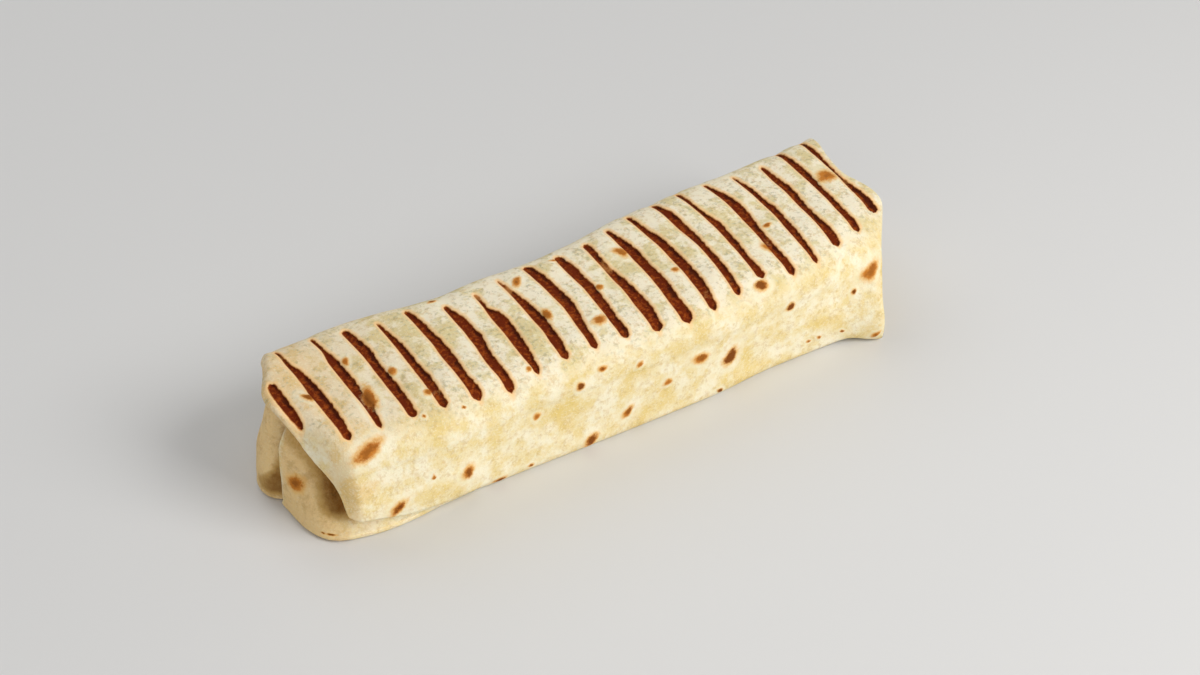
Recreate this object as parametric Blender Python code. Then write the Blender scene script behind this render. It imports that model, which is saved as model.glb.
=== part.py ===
"""A grilled tortilla wrap with both ends folded in, as one closed solid.

The wrap lies along X, its open folded end at -X, its front towards -Y.
The origin is under the middle of its box, on the surface it rests on.
Every size is in millimetres and becomes metres when the mesh is made.
"""
import bpy
import numpy as np

MM = 0.001

# Driving sizes
TOP_HEIGHT = 41.0
MARK_COUNT = 21
MARK_PITCH = 11.0
MARK_SHIFT = 2.9
MARK_WIDTH = 2.8
MARK_DEPTH = 1.1
MARK_END_INSET = 5.0
MARK_END_SWAY = 1.8
MARK_END_FADE = 2.5
FIRST_MARK_FRONT_CUT = 12.0
FIRST_MARK_BACK_CUT = 11.0
FOLD_THICKNESS = 2.2
MEAN_HALF_WIDTH = 28.0
LUMP_HEIGHT = 0.45

# The outer layer's loose edge: where it starts and ends along X, and its height at the start
SEAM_STEP = 0.8
SEAM_RUN = (-104.0, -50.0)
SEAM_HEIGHT = 8.5
SEAM_FADE = 12.0

# The faces inside each folded end: a dished tongue in front, a rounded gusset
# behind, and a crease between them. X and Y of the main points, then depths
LEFT_TONGUE_X = -113.2
LEFT_POCKET_DEPTH = 10.0
LEFT_GUSSET = (-116.4, 7.5)
LEFT_GUSSET_CURVE = 0.045
LEFT_GUSSET_LEAN = 0.16
LEFT_CREASE = 0.5
LEFT_CREASE_DEPTH = 2.6
RIGHT_TONGUE_X = 110.0
RIGHT_TONGUE_SKEW = 0.14
RIGHT_POCKET_DEPTH = 8.0
RIGHT_GUSSET = (115.2, 18.0)
RIGHT_GUSSET_CURVE = 0.014
RIGHT_GUSSET_LEAN = 0.10
RIGHT_CREASE = 7.5
RIGHT_CREASE_DEPTH = 2.2
CREASE_WIDTH = 2.3
GUSSET_SHARE_WIDTH = 3.0

# The straight body lies between these two planes, and the folded ends go on from them
LEFT_NECK = -98.2
RIGHT_NECK = 97.5

# Rings of a folded end, as shares of the way from its neck to its outline
LEFT_SHARES = (0.22, 0.45, 0.50, 0.59, 0.64, 0.82, 1.0)
RIGHT_SHARES = (0.165, 0.21, 0.295, 0.34, 0.56, 0.79, 0.84, 0.92, 1.0)
TUCK_EASE = 2.2

# Stations along the wrap and the width of the body at each of them
STATIONS = (-115.0, -100.0, -86.0, -66.0, -48.0, -15.0, 12.0, 38.0, 56.0, 80.0, 90.0, 100.0, 114.0)
FRONT_FOOT = (-31.5, -31.4, -31.2, -31.0, -28.8, -29.0, -29.0, -28.6, -26.4, -26.4, -26.5, -34.5, -34.0)
FRONT_SHOULDER = (-26.0, -27.0, -28.0, -29.0, -29.8, -30.5, -31.0, -30.7, -29.5, -24.5, -20.5, -16.0, -11.0)
BACK_SHOULDER = (31.0, 31.0, 31.2, 33.0, 28.0, 27.8, 29.3, 35.5, 37.5, 38.8, 40.8, 42.2, 42.5)
BACK_FOOT = (27.0, 28.0, 28.0, 27.5, 27.0, 27.0, 28.5, 30.5, 31.0, 32.0, 32.5, 33.0, 32.0)
TOP_EDGE = (-1.0, -0.4, -0.4, 0.6, 0.2, 0.3, 0.0, 0.2, 0.3, 0.0, 0.2, 0.5, -0.8)

# The roundness of the section: 2 is an ellipse, a high number is a box
UPPER_POWER = 5.0
LOWER_POWER = 12.0
FOOT_CUT = 1.03

# The base is lifted a little beside the right end's loose front corner
LIFT_HEIGHT = 2.2
LIFT_PLACE = 90.0
LIFT_LENGTH = 7.0
LIFT_INSET = 12.0

# The skewed outline of each folded end: X at angles round the section,
# from the back (0 degrees) over the top (90) and the front (180) to the base
LEFT_ANGLES = (0, 20, 37, 50, 62, 75, 90, 113, 144, 165, 181, 195, 205, 214,
               222, 232, 245, 270, 290, 300, 312, 323, 340)
LEFT_OUTLINE = (-102.8, -102.8, -104.4, -108.0, -111.5, -114, -114.6, -114, -111, -109,
                -107.2, -104.2, -102, -103.8, -108.2, -112, -113.2, -113.2, -115, -115.8,
                -113, -107, -103.6)
RIGHT_ANGLES = (0, 32, 60, 90, 124, 142, 166, 184, 197, 206, 215, 228, 250, 270, 300, 323, 340)
RIGHT_OUTLINE = (113, 116.4, 114.8, 114.6, 115.0, 111.5, 105.8, 103.3, 101.9, 100.5, 99.8,
                 101.2, 105, 108, 111, 112, 113)

# The front upper corner is tucked in at each end: the distance from the
# middle of the section is cut to these shares, at angles round the section
TUCK_ANGLES = (70, 90, 100, 113, 130, 144, 160, 181, 202, 214)
LEFT_TUCK = (1.0, 0.97, 0.92, 0.82, 0.67, 0.59, 0.66, 0.77, 0.93, 1.0)
RIGHT_TUCK = (1.0, 0.99, 0.98, 0.96, 0.94, 0.92, 0.94, 0.97, 0.99, 1.0)

# The middle of the finished box, which is moved to the origin
BOX_MIDDLE = (0.15, 2.53)

# Mesh density
ROUND_COUNT = 44
GROOVE_RINGS = (-1.55, -0.75, 0.75, 1.55)
TABLE_COUNT = 2000

# How far the straight runs between knots are blended into each other
BODY_SOFTEN = 12.0
FRONT_SOFTEN = 8.0
FOOT_SOFTEN = 6.0
END_SOFTEN = 6.0

# Each fold's roll, ring by ring: inset in fold thicknesses, share of the way
# down to the inner face, and how far it stands proud of the outline
FOLD_ROLL = ((0.45, 0.0, 0.55), (1.1, 0.0, 0.45), (1.55, 0.4, 0.0), (1.9, 1.0, 0.0))
INNER_SHARES = (0.2, 0.42, 0.64, 0.84)
POLE_HEIGHT = 0.42


def eased(x, knots, values, soften):
    """Straight runs between the knots, averaged over soften mm each way."""
    shifts = np.linspace(-soften, soften, 9)
    return sum(np.interp(x + shift, knots, values) for shift in shifts) / len(shifts)


def eased_round(angle, knots, values, soften):
    """The same round a full turn: the knots repeat every 360 degrees."""
    turn = np.array(knots, float)
    level = np.array(values, float)
    wide_turn = np.concatenate((turn - 360.0, turn, turn + 360.0))
    wide_level = np.concatenate((level, level, level))
    return eased(np.mod(angle, 360.0), wide_turn, wide_level, soften)


def smooth_step(value):
    """0 below 0, 1 above 1, and 3t^2 - 2t^3 between."""
    t = np.clip(value, 0.0, 1.0)
    return t * t * (3.0 - 2.0 * t)


def boxed_circle(turn):
    """Superellipse of half size 1: cos and sin to the power 2 / n, signs kept."""
    power = np.where(np.sin(turn) > 0.0, UPPER_POWER, LOWER_POWER)
    across = np.sign(np.cos(turn)) * np.abs(np.cos(turn)) ** (2.0 / power)
    up = np.sign(np.sin(turn)) * np.abs(np.sin(turn)) ** (2.0 / power)
    return across, up


def even_turns(count):
    """Angles that place count points at even spacing along the section."""
    fine = np.linspace(0.0, 2.0 * np.pi, TABLE_COUNT)
    across, up = boxed_circle(fine)
    steps = np.hypot(np.diff(across * MEAN_HALF_WIDTH), np.diff(up * TOP_HEIGHT / 2.0))
    run = np.concatenate(([0.0], np.cumsum(steps)))
    wanted = np.arange(count) * run[-1] / count
    return np.interp(wanted, run, fine)


def lumps(x, turn):
    """Low swells of the filling: three products of slow sines."""
    first = np.sin(x / 13.0 + 0.6) * np.cos(2.0 * turn + 0.4)
    second = np.sin(x / 7.9 + 2.1) * np.cos(3.0 * turn + 1.7)
    third = np.sin(x / 24.0 + 4.0) * np.cos(turn + 2.6)
    return LUMP_HEIGHT * (first + 0.6 * second + 1.2 * third)


def section(x, turn):
    """Y and Z of the body's skin at station x and angle turn.

    Y runs from the front face to the back face, and the front face leans
    from its foot line to its shoulder line. Z is cut flat at the base.
    """
    across, up = boxed_circle(turn)
    top = TOP_HEIGHT + eased(x, STATIONS, TOP_EDGE, BODY_SOFTEN)
    swell = lumps(x, turn) * smooth_step((up + 0.9) / 0.5)
    z = top * (1.0 + FOOT_CUT * up) / (1.0 + FOOT_CUT) + swell * np.clip(up, 0.0, 1.0)
    z = np.maximum(z, 0.0)
    lean = np.clip(z / TOP_HEIGHT, 0.0, 1.0) ** 2
    foot = eased(x, STATIONS, FRONT_FOOT, FOOT_SOFTEN)
    shoulder = eased(x, STATIONS, FRONT_SHOULDER, FRONT_SOFTEN)
    front = foot + (shoulder - foot) * lean
    back_foot = eased(x, STATIONS, BACK_FOOT, BODY_SOFTEN)
    back = back_foot + (eased(x, STATIONS, BACK_SHOULDER, BODY_SOFTEN) - back_foot) * lean
    y = 0.5 * (front + back) + 0.5 * (back - front) * across + swell * across
    hollow = LIFT_HEIGHT * np.exp(-((x - LIFT_PLACE) / LIFT_LENGTH) ** 2)
    z = np.maximum(z, hollow * smooth_step((-y - LIFT_INSET) / LIFT_INSET))
    return y, z


def mark_line(index):
    """X of a grill mark and the Y of its front and back ends."""
    x = (index - (MARK_COUNT - 1) / 2.0) * MARK_PITCH + MARK_SHIFT
    front = eased(x, STATIONS, FRONT_SHOULDER, FRONT_SOFTEN) + MARK_END_INSET
    back = eased(x, STATIONS, BACK_SHOULDER, BODY_SOFTEN) - MARK_END_INSET
    front += MARK_END_SWAY * np.sin(2.3 * index)
    back += MARK_END_SWAY * np.sin(1.7 * index + 1.0)
    if index == 0:
        front += FIRST_MARK_FRONT_CUT
        back -= FIRST_MARK_BACK_CUT
    return x, front, back


def groove_depth(x, y, z):
    """How deep the grill pressed: a round-bottomed groove along each mark."""
    depth = np.zeros_like(x)
    for index in range(MARK_COUNT):
        line, front, back = mark_line(index)
        aside = 2.0 * np.abs(x - line) / MARK_WIDTH
        from_front = smooth_step((y - front) / MARK_END_FADE + 0.5)
        from_back = smooth_step((back - y) / MARK_END_FADE + 0.5)
        depth += MARK_DEPTH * smooth_step((1.15 - aside) / 0.6) * from_front * from_back
    return depth * smooth_step((z - 0.75 * TOP_HEIGHT) / 4.0)


def seam_drop(x, y, z):
    """The step under the outer layer's loose edge, low on the front."""
    edge = np.interp(x, SEAM_RUN, (SEAM_HEIGHT, 0.0))
    below = smooth_step((edge - z) / (2.0 * SEAM_STEP) + 0.5)
    on_front = smooth_step((-y - 18.0) / 6.0)
    return SEAM_STEP * below * on_front * smooth_step((SEAM_RUN[1] - x) / SEAM_FADE)


def ring_stations():
    """Stations of the straight body: four rings for each groove it carries."""
    lines = np.array([mark_line(index)[0] for index in range(MARK_COUNT)])
    rings = (lines[:, None] + np.array(GROOVE_RINGS)[None, :]).ravel()
    inside = rings[(rings > LEFT_NECK) & (rings < RIGHT_NECK)]
    return np.concatenate(([LEFT_NECK], inside, [RIGHT_NECK]))


def bearings(y, z):
    """Angle of each skin point round its section, in degrees from the back."""
    middle = 0.5 * (y.max(axis=1) + y.min(axis=1))[:, None]
    return np.degrees(np.arctan2(z - 0.5 * TOP_HEIGHT, y - middle)), middle


def folded_end(neck, shares, angles, outline, tuck, turn):
    """Rings from a neck out to the end's skewed outline, its front corner tucked."""
    share = np.array(shares)[:, None]
    start_y, start_z = section(np.full((1, 1), neck), turn)
    bearing = bearings(start_y, start_z)[0]
    x = neck + (eased_round(bearing, angles, outline, END_SOFTEN) - neck) * share
    y, z = section(x, turn)
    middle = bearings(y, z)[1]
    pull = (1.0 - eased_round(bearing, TUCK_ANGLES, tuck, END_SOFTEN)) * share ** TUCK_EASE
    y = y + (middle - y) * pull
    z = z + (0.5 * TOP_HEIGHT - z) * pull
    return x, y, z


def body_skin():
    """Grid of points, one row for each ring along X, one column round it."""
    turn = even_turns(ROUND_COUNT)[None, :]
    x = np.repeat(ring_stations()[:, None], ROUND_COUNT, axis=1)
    y, z = section(x, turn)
    left = folded_end(LEFT_NECK, LEFT_SHARES, LEFT_ANGLES, LEFT_OUTLINE, LEFT_TUCK, turn)
    right = folded_end(RIGHT_NECK, RIGHT_SHARES, RIGHT_ANGLES, RIGHT_OUTLINE, RIGHT_TUCK, turn)
    parts = zip(left, (x, y, z), right)
    x, y, z = [np.concatenate((first[::-1], middle, last)) for first, middle, last in parts]
    pressed = groove_depth(x, y, z)
    stepped = seam_drop(x, y, z)
    return np.stack((x, y + stepped, z - pressed), axis=2)


def crease_blend(y, place):
    """How far a point has passed from tongue to gusset, and how deep in the crease it is."""
    share = smooth_step((y - place) / GUSSET_SHARE_WIDTH + 0.5)
    return share, np.exp(-((y - place) / CREASE_WIDTH) ** 2)


def left_floor(y, z):
    """X of the left end's inner face: the tongue dips in towards the hood above it."""
    tongue = LEFT_TONGUE_X + LEFT_POCKET_DEPTH * smooth_step((-y + 0.9 * z - 6.0) / 26.0)
    out, middle = LEFT_GUSSET
    gusset = out + LEFT_GUSSET_CURVE * (y - middle) ** 2 + LEFT_GUSSET_LEAN * np.maximum(z - 22.0, 0.0)
    share, crease = crease_blend(y, LEFT_CREASE)
    return tongue * (1.0 - share) + gusset * share + LEFT_CREASE_DEPTH * crease


def right_floor(y, z):
    """X of the right end's inner face: the same fold, mirrored and shallower."""
    flat = RIGHT_TONGUE_X + RIGHT_TONGUE_SKEW * y
    tongue = flat - RIGHT_POCKET_DEPTH * smooth_step((-y + 0.9 * z - 2.0) / 28.0)
    out, middle = RIGHT_GUSSET
    gusset = out - RIGHT_GUSSET_CURVE * (y - middle) ** 2 - RIGHT_GUSSET_LEAN * np.maximum(z - 24.0, 0.0)
    share, crease = crease_blend(y, RIGHT_CREASE)
    return tongue * (1.0 - share) + gusset * share - RIGHT_CREASE_DEPTH * crease


def end_rings(rim, floor, crease_y, outward):
    """Rings that roll over the rim's fold and go in to the end's middle point.

    The first rings are set in from the rim by parts of the fold's thickness,
    and the later ones by shares of the way left to the middle.
    """
    middle = np.array([0.0, crease_y, POLE_HEIGHT * TOP_HEIGHT])
    inward = middle[None, 1:] - rim[:, 1:]
    reach = np.hypot(inward[:, 0], inward[:, 1])[:, None]
    rings = []
    for inset, share, proud in FOLD_ROLL:
        flat = rim[:, 1:] + inward * (inset * FOLD_THICKNESS / reach)
        deep = floor(flat[:, 0], flat[:, 1])
        x = rim[:, 0] * (1.0 - share) + deep * share + outward * proud
        rings.append(np.column_stack((x, flat)))
    last = rings[-1][:, 1:]
    for share in INNER_SHARES:
        flat = last * (1.0 - share) + middle[None, 1:] * share
        rings.append(np.column_stack((floor(flat[:, 0], flat[:, 1]), flat)))
    centre = np.array([floor(middle[1], middle[2]), middle[1], middle[2]])
    return rings, centre


def wrap_faces(rows, columns, first_pole, last_pole):
    """Quads between neighbouring rings, and a fan of triangles at each pole."""
    row = np.arange(rows - 1)[:, None] * columns
    here = np.arange(columns)[None, :]
    there = (here + 1) % columns
    quads = np.stack((row + here, row + there, row + columns + there, row + columns + here), axis=2)
    faces = [tuple(quad) for quad in quads.reshape(-1, 4).tolist()]
    last_row = (rows - 1) * columns
    for column in range(columns):
        following = (column + 1) % columns
        faces.append((first_pole, following, column))
        faces.append((last_pole, last_row + column, last_row + following))
    return faces


def tortilla_material():
    """Toasted flour tortilla: pale cream, matt, no metal."""
    material = bpy.data.materials.new("toasted_tortilla")
    material.use_nodes = True
    shader = material.node_tree.nodes["Principled BSDF"]
    shader.inputs["Base Color"].default_value = (0.83, 0.74, 0.53, 1.0)
    shader.inputs["Roughness"].default_value = 0.72
    shader.inputs["Metallic"].default_value = 0.0
    return material


def build_wrap():
    """One closed skin: left end, body and right end in one run of rings."""
    skin = body_skin()
    left_rings, left_pole = end_rings(skin[0], left_floor, LEFT_CREASE, -1.0)
    right_rings, right_pole = end_rings(skin[-1], right_floor, RIGHT_CREASE, 1.0)
    rings = left_rings[::-1] + list(skin) + right_rings
    points = np.concatenate(rings + [left_pole[None, :], right_pole[None, :]])
    points[:, 2] = np.maximum(points[:, 2], 0.0)
    points[:, :2] -= BOX_MIDDLE
    count = len(rings) * ROUND_COUNT
    faces = wrap_faces(len(rings), ROUND_COUNT, count, count + 1)
    mesh = bpy.data.meshes.new("tortilla_wrap")
    mesh.from_pydata((points * MM).tolist(), [], faces)
    mesh.update()
    mesh.shade_smooth()
    mesh.materials.append(tortilla_material())
    wrap = bpy.data.objects.new("tortilla_wrap", mesh)
    bpy.context.collection.objects.link(wrap)
    return wrap


def main():
    for old in list(bpy.data.objects):
        bpy.data.objects.remove(old, do_unlink=True)
    build_wrap()


main()
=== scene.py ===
# %% [markdown]
# # A grilled tortilla wrap
#
# A flour tortilla is rolled round a filling, both ends are folded in, and the
# roll is pressed on a ribbed grill. What shows is only the tortilla: a long
# rounded box with dark grill marks over the top, toast spots, yellow and
# grey-green stains, and a folded pocket at the left end.
#
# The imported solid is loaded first. It fixes the size and the place, and its
# box is kept so that the finished model can be compared with it.

import bpy
import numpy as np
from mathutils import Matrix, Vector


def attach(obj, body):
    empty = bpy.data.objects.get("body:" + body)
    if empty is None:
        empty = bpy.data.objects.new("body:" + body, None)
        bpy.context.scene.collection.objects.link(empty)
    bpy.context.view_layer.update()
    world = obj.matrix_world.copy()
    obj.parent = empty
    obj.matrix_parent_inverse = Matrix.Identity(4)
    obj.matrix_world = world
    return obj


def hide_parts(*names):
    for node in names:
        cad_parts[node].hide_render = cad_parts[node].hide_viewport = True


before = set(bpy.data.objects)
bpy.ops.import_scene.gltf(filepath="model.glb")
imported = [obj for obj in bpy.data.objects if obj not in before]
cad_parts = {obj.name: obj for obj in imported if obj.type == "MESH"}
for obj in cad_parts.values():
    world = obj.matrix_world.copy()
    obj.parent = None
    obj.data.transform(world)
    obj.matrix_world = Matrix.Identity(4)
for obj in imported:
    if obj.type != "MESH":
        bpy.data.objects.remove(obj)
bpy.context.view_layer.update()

# %% [markdown]
# ## Camera
#
# The camera was solved from the photograph: it stands half a metre above the
# wrap and looks down at it from the front left. Setting it by eye would be
# quicker, but a solved camera lets every edge of the model be laid over the
# photograph and compared. A place, two directions and a lens say all of it.

# %% Camera
CAMERA_PLACE = Vector((-0.34235, -0.56940, 0.55503))
CAMERA_RIGHT = Vector((0.85455, -0.51935, 0.00570))
CAMERA_FORWARD = Vector((0.40728, 0.66326, -0.62786))
CAMERA_LENS = 76.846
CAMERA_SENSOR = 36.0
CAMERA_NEAR = 0.01

camera_data = bpy.data.cameras.new("camera")
camera_data.lens = CAMERA_LENS
camera_data.sensor_width = CAMERA_SENSOR
camera_data.clip_start = CAMERA_NEAR
camera = bpy.data.objects.new("camera", camera_data)
camera_up = CAMERA_RIGHT.cross(CAMERA_FORWARD)
turn = Matrix((CAMERA_RIGHT, camera_up, -CAMERA_FORWARD)).transposed()
camera.matrix_world = Matrix.Translation(CAMERA_PLACE) @ turn.to_4x4()
bpy.context.collection.objects.link(camera)
bpy.context.scene.camera = camera
print("camera up vector:", [round(value, 3) for value in camera_up])

# %% [markdown]
# ## Helpers for materials
#
# A material is a chain of shader nodes. Written out one by one they would fill
# pages, so a few short functions each add a node, join it to the ones before
# and hand back its output. Node groups would also do, but functions read like
# the sentence that they stand for: cover this colour with that one, this much.

# %% Material helpers
def linear(red, green, blue):
    """A screen colour of 0 to 255 as a linear one: (v + 0.055) / 1.055 to the power 2.4."""
    screen = np.array((red, green, blue)) / 255.0
    return (*(((screen + 0.055) / 1.055) ** 2.4).tolist(), 1.0)


def add_node(tree, kind, inputs, **settings):
    """Add a shader node: a socket among the inputs is linked, and a plain value is set."""
    made = tree.nodes.new(kind)
    for name, value in settings.items():
        setattr(made, name, value)
    for key, value in inputs.items():
        if isinstance(value, bpy.types.NodeSocket):
            tree.links.new(value, made.inputs[key])
        else:
            made.inputs[key].default_value = value
    return made


def noise(tree, place, scale, detail, rough):
    """Cloudy noise of 0 to 1; scale is in cycles per metre."""
    inputs = {"Vector": place, "Scale": scale, "Detail": detail, "Roughness": rough}
    return add_node(tree, "ShaderNodeTexNoise", inputs).outputs[0]


def rise(tree, value, low, high):
    """0 below low and 1 above high, eased between."""
    inputs = {"Value": value, "From Min": low, "From Max": high}
    return add_node(tree, "ShaderNodeMapRange", inputs, interpolation_type="SMOOTHSTEP").outputs[0]


def math_node(tree, kind, first, second):
    """One math node of that kind on two values."""
    return add_node(tree, "ShaderNodeMath", {0: first, 1: second}, operation=kind).outputs[0]


def cover(tree, share, under, over):
    """The colour over laid on the colour under, as strongly as share says."""
    inputs = {0: share, 6: under, 7: over}
    return add_node(tree, "ShaderNodeMix", inputs, data_type="RGBA").outputs[2]


def layer_value(tree, name):
    """A number stored on the mesh's points under that name."""
    return add_node(tree, "ShaderNodeAttribute", {}, attribute_name=name).outputs["Fac"]


def new_material(name):
    """A material, its node tree, its main shader and the piece's own coordinates."""
    material = bpy.data.materials.new(name)
    material.use_nodes = True
    tree = material.node_tree
    place = add_node(tree, "ShaderNodeTexCoord", {}).outputs["Object"]
    return material, tree, tree.nodes["Principled BSDF"], place


print("flour white as a linear colour:", [round(value, 3) for value in linear(249, 240, 212)])

# %% [markdown]
# ## Floor and light
#
# Three large soft lamps light the wrap on a pale floor, and a dim even sky fills
# the rest. The key from the front right makes the front face bright, a weak lamp
# from the left opens the shade in the folded end, and one from behind lights the
# top. One small bright lamp would be simpler, but its hard shadows would hide
# the low relief of the dough.

# %% Floor and lamps
FLOOR_HALF = 4.0
FLOOR_GREY = linear(218, 218, 218)
FLOOR_ROUGHNESS = 0.6
# Name, place, side length, power and colour of each lamp
LAMPS = (
    ("key", (0.55, -0.80, 0.80), 0.7, 11.0, (1.0, 0.985, 0.96)),
    ("side", (-0.62, -0.8, 0.42), 0.8, 2.3, (1.0, 0.98, 0.94)),
    ("back", (-0.2, 0.9, 1.1), 1.2, 5.0, (0.98, 0.99, 1.0)),
)
STUDIO_COLOUR = (1.0, 0.99, 0.97, 1.0)
STUDIO_STRENGTH = 0.32


def soft_lamp(name, lamp_place, size, power, colour):
    """A square area lamp aimed at the origin."""
    data = bpy.data.lights.new(name, "AREA")
    data.size = size
    data.energy = power
    data.color = colour
    lamp = bpy.data.objects.new(name, data)
    lamp.location = lamp_place
    lamp.rotation_euler = (-Vector(lamp_place)).to_track_quat("-Z", "Y").to_euler()
    bpy.context.collection.objects.link(lamp)


floor_mesh = bpy.data.meshes.new("floor")
corners = [(x * FLOOR_HALF, y * FLOOR_HALF, 0.0) for x, y in ((-1, -1), (1, -1), (1, 1), (-1, 1))]
floor_mesh.from_pydata(corners, [], [(0, 1, 2, 3)])
floor = bpy.data.objects.new("floor", floor_mesh)
bpy.context.collection.objects.link(floor)
floor_material, tree, shader, place = new_material("pale_floor")
shader.inputs["Base Color"].default_value = FLOOR_GREY
shader.inputs["Roughness"].default_value = FLOOR_ROUGHNESS
floor_mesh.materials.append(floor_material)

for lamp_values in LAMPS:
    soft_lamp(*lamp_values)
world = bpy.data.worlds.new("studio")
world.use_nodes = True
world.node_tree.nodes["Background"].inputs["Color"].default_value = STUDIO_COLOUR
world.node_tree.nodes["Background"].inputs["Strength"].default_value = STUDIO_STRENGTH
bpy.context.scene.world = world
bpy.context.scene.view_settings.view_transform = "Standard"
print("lamps:", len(LAMPS), "floor side in metres:", 2.0 * FLOOR_HALF)

# %% [markdown]
# ## The skin as a grid
#
# The whole wrap is one sheet, so it is one grid of points: rings along X, and
# columns round each ring. Box modelling with a subdivision modifier would also
# give a rounded box, but here every width is a named value at a named station,
# which keeps the outline the same as the solid's. Sizes are in millimetres,
# measured from the middle of the row of grill marks, and the last step moves
# the middle of the box to the origin.

# %% Sizes of the wrap
TOP_HEIGHT = 41.0
BOX_MIDDLE = (0.15, 2.53)
LEFT_NECK = -98.2
RIGHT_NECK = 97.5
LUMP_HEIGHT = 0.45
MEAN_HALF_WIDTH = 28.0
# X of each station, then Y of the front and the back there, low and high, and the rise of the top
STATIONS = (-115.0, -100.0, -86.0, -66.0, -48.0, -15.0, 12.0, 38.0, 56.0, 80.0, 90.0, 100.0, 114.0)
FRONT_FOOT = (-31.5, -31.4, -31.2, -31.0, -28.8, -29.0, -29.0, -28.6, -26.4, -26.4, -26.5, -34.5, -34.0)
FRONT_SHOULDER = (-26.0, -27.0, -28.0, -29.0, -29.8, -30.5, -31.0, -30.7, -29.5, -24.5, -20.5, -16.0, -11.0)
BACK_SHOULDER = (31.0, 31.0, 31.2, 33.0, 28.0, 27.8, 29.3, 35.5, 37.5, 38.8, 40.8, 42.2, 42.5)
BACK_FOOT = (27.0, 28.0, 28.0, 27.5, 27.0, 27.0, 28.5, 30.5, 31.0, 32.0, 32.5, 33.0, 32.0)
TOP_EDGE = (-1.0, -0.4, -0.4, 0.6, 0.2, 0.3, 0.0, 0.2, 0.3, 0.0, 0.2, 0.5, -0.8)
# Powers of the superellipse above and below its middle, and how far its foot is cut off flat
UPPER_POWER = 5.0
LOWER_POWER = 12.0
FOOT_CUT = 1.03
BODY_SOFTEN = 12.0
FRONT_SOFTEN = 8.0
FOOT_SOFTEN = 6.0
END_SOFTEN = 6.0
# The front of the base is lifted off the floor near the right end
LIFT_HEIGHT = 2.2
LIFT_PLACE = 90.0
LIFT_LENGTH = 7.0
LIFT_INSET = 12.0
SWELL_FROM = -0.9
SWELL_EASE = 0.5


def eased(x, knots, values, soften):
    """Straight runs between the knots, averaged over soften mm each way."""
    shifts = np.linspace(-soften, soften, 9)
    return sum(np.interp(x + shift, knots, values) for shift in shifts) / len(shifts)


def eased_round(angle, knots, values, soften):
    """The same round a full turn: the knots repeat every 360 degrees."""
    turns = np.array(knots, float)
    level = np.array(values, float)
    wide_turn = np.concatenate((turns - 360.0, turns, turns + 360.0))
    return eased(np.mod(angle, 360.0), wide_turn, np.tile(level, 3), soften)


def smooth_step(value):
    """0 below 0, 1 above 1, and 3t^2 - 2t^3 between."""
    t = np.clip(value, 0.0, 1.0)
    return t * t * (3.0 - 2.0 * t)


def boxed_circle(angle):
    """Superellipse of half size 1: cos and sin to the power 2 / n, signs kept."""
    power = np.where(np.sin(angle) > 0.0, UPPER_POWER, LOWER_POWER)
    across = np.sign(np.cos(angle)) * np.abs(np.cos(angle)) ** (2.0 / power)
    up = np.sign(np.sin(angle)) * np.abs(np.sin(angle)) ** (2.0 / power)
    return across, up


def lumps(x, angle):
    """Low swells of the filling: three products of slow sines."""
    first = np.sin(x / 13.0 + 0.6) * np.cos(2.0 * angle + 0.4)
    second = np.sin(x / 7.9 + 2.1) * np.cos(3.0 * angle + 1.7)
    third = np.sin(x / 24.0 + 4.0) * np.cos(angle + 2.6)
    return LUMP_HEIGHT * (first + 0.6 * second + 1.2 * third)


def section(x, angle):
    """Y and Z of the skin at station x: a superellipse between a leaning front and back.

    The lean grows with the square of the height. The lumps swell all but the
    base, and near LIFT_PLACE the front of the base is lifted by a bell curve.
    """
    across, up = boxed_circle(angle)
    top = TOP_HEIGHT + eased(x, STATIONS, TOP_EDGE, BODY_SOFTEN)
    swell = lumps(x, angle) * smooth_step((up - SWELL_FROM) / SWELL_EASE)
    z = top * (1.0 + FOOT_CUT * up) / (1.0 + FOOT_CUT) + swell * np.clip(up, 0.0, 1.0)
    z = np.maximum(z, 0.0)
    lean = np.clip(z / TOP_HEIGHT, 0.0, 1.0) ** 2
    foot = eased(x, STATIONS, FRONT_FOOT, FOOT_SOFTEN)
    shoulder = eased(x, STATIONS, FRONT_SHOULDER, FRONT_SOFTEN)
    front = foot + (shoulder - foot) * lean
    back_foot = eased(x, STATIONS, BACK_FOOT, BODY_SOFTEN)
    back = back_foot + (eased(x, STATIONS, BACK_SHOULDER, BODY_SOFTEN) - back_foot) * lean
    y = 0.5 * (front + back) + 0.5 * (back - front) * across + swell * across
    hollow = LIFT_HEIGHT * np.exp(-((x - LIFT_PLACE) / LIFT_LENGTH) ** 2)
    z = np.maximum(z, hollow * smooth_step((-y - LIFT_INSET) / LIFT_INSET))
    return y, z


middle_y, middle_z = section(np.zeros(4), np.radians((0.0, 90.0, 180.0, 270.0)))
print("middle section in mm, back to front:", np.ptp(middle_y).round(1), "height:", middle_z.max().round(1))

# %% [markdown]
# ## Rings, columns and the outer layer's loose edge
#
# The outer layer ends low on the front, in an edge that runs down to the right
# and leaves a strip of the layer below. An edge that cuts across the columns
# would look like a staircase, so one column of the grid is bent to follow it.
# Few columns lie under the base, where nothing shows.

# %% Columns round the section
COLUMNS = 196
FINE_STEPS = 40001
BASE_BELOW = -0.985
BASE_WEIGHT = 0.3
SEAM_PLACES = (-104.0, -97.0, -90.0, -84.0, -70.0, -50.0, -30.0)
SEAM_HEIGHTS = (10.6, 9.5, 8.0, 5.8, 4.7, 3.8, 3.0)
SEAM_SOFTEN = 3.0
SEAM_SAMPLE = -80.0

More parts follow.
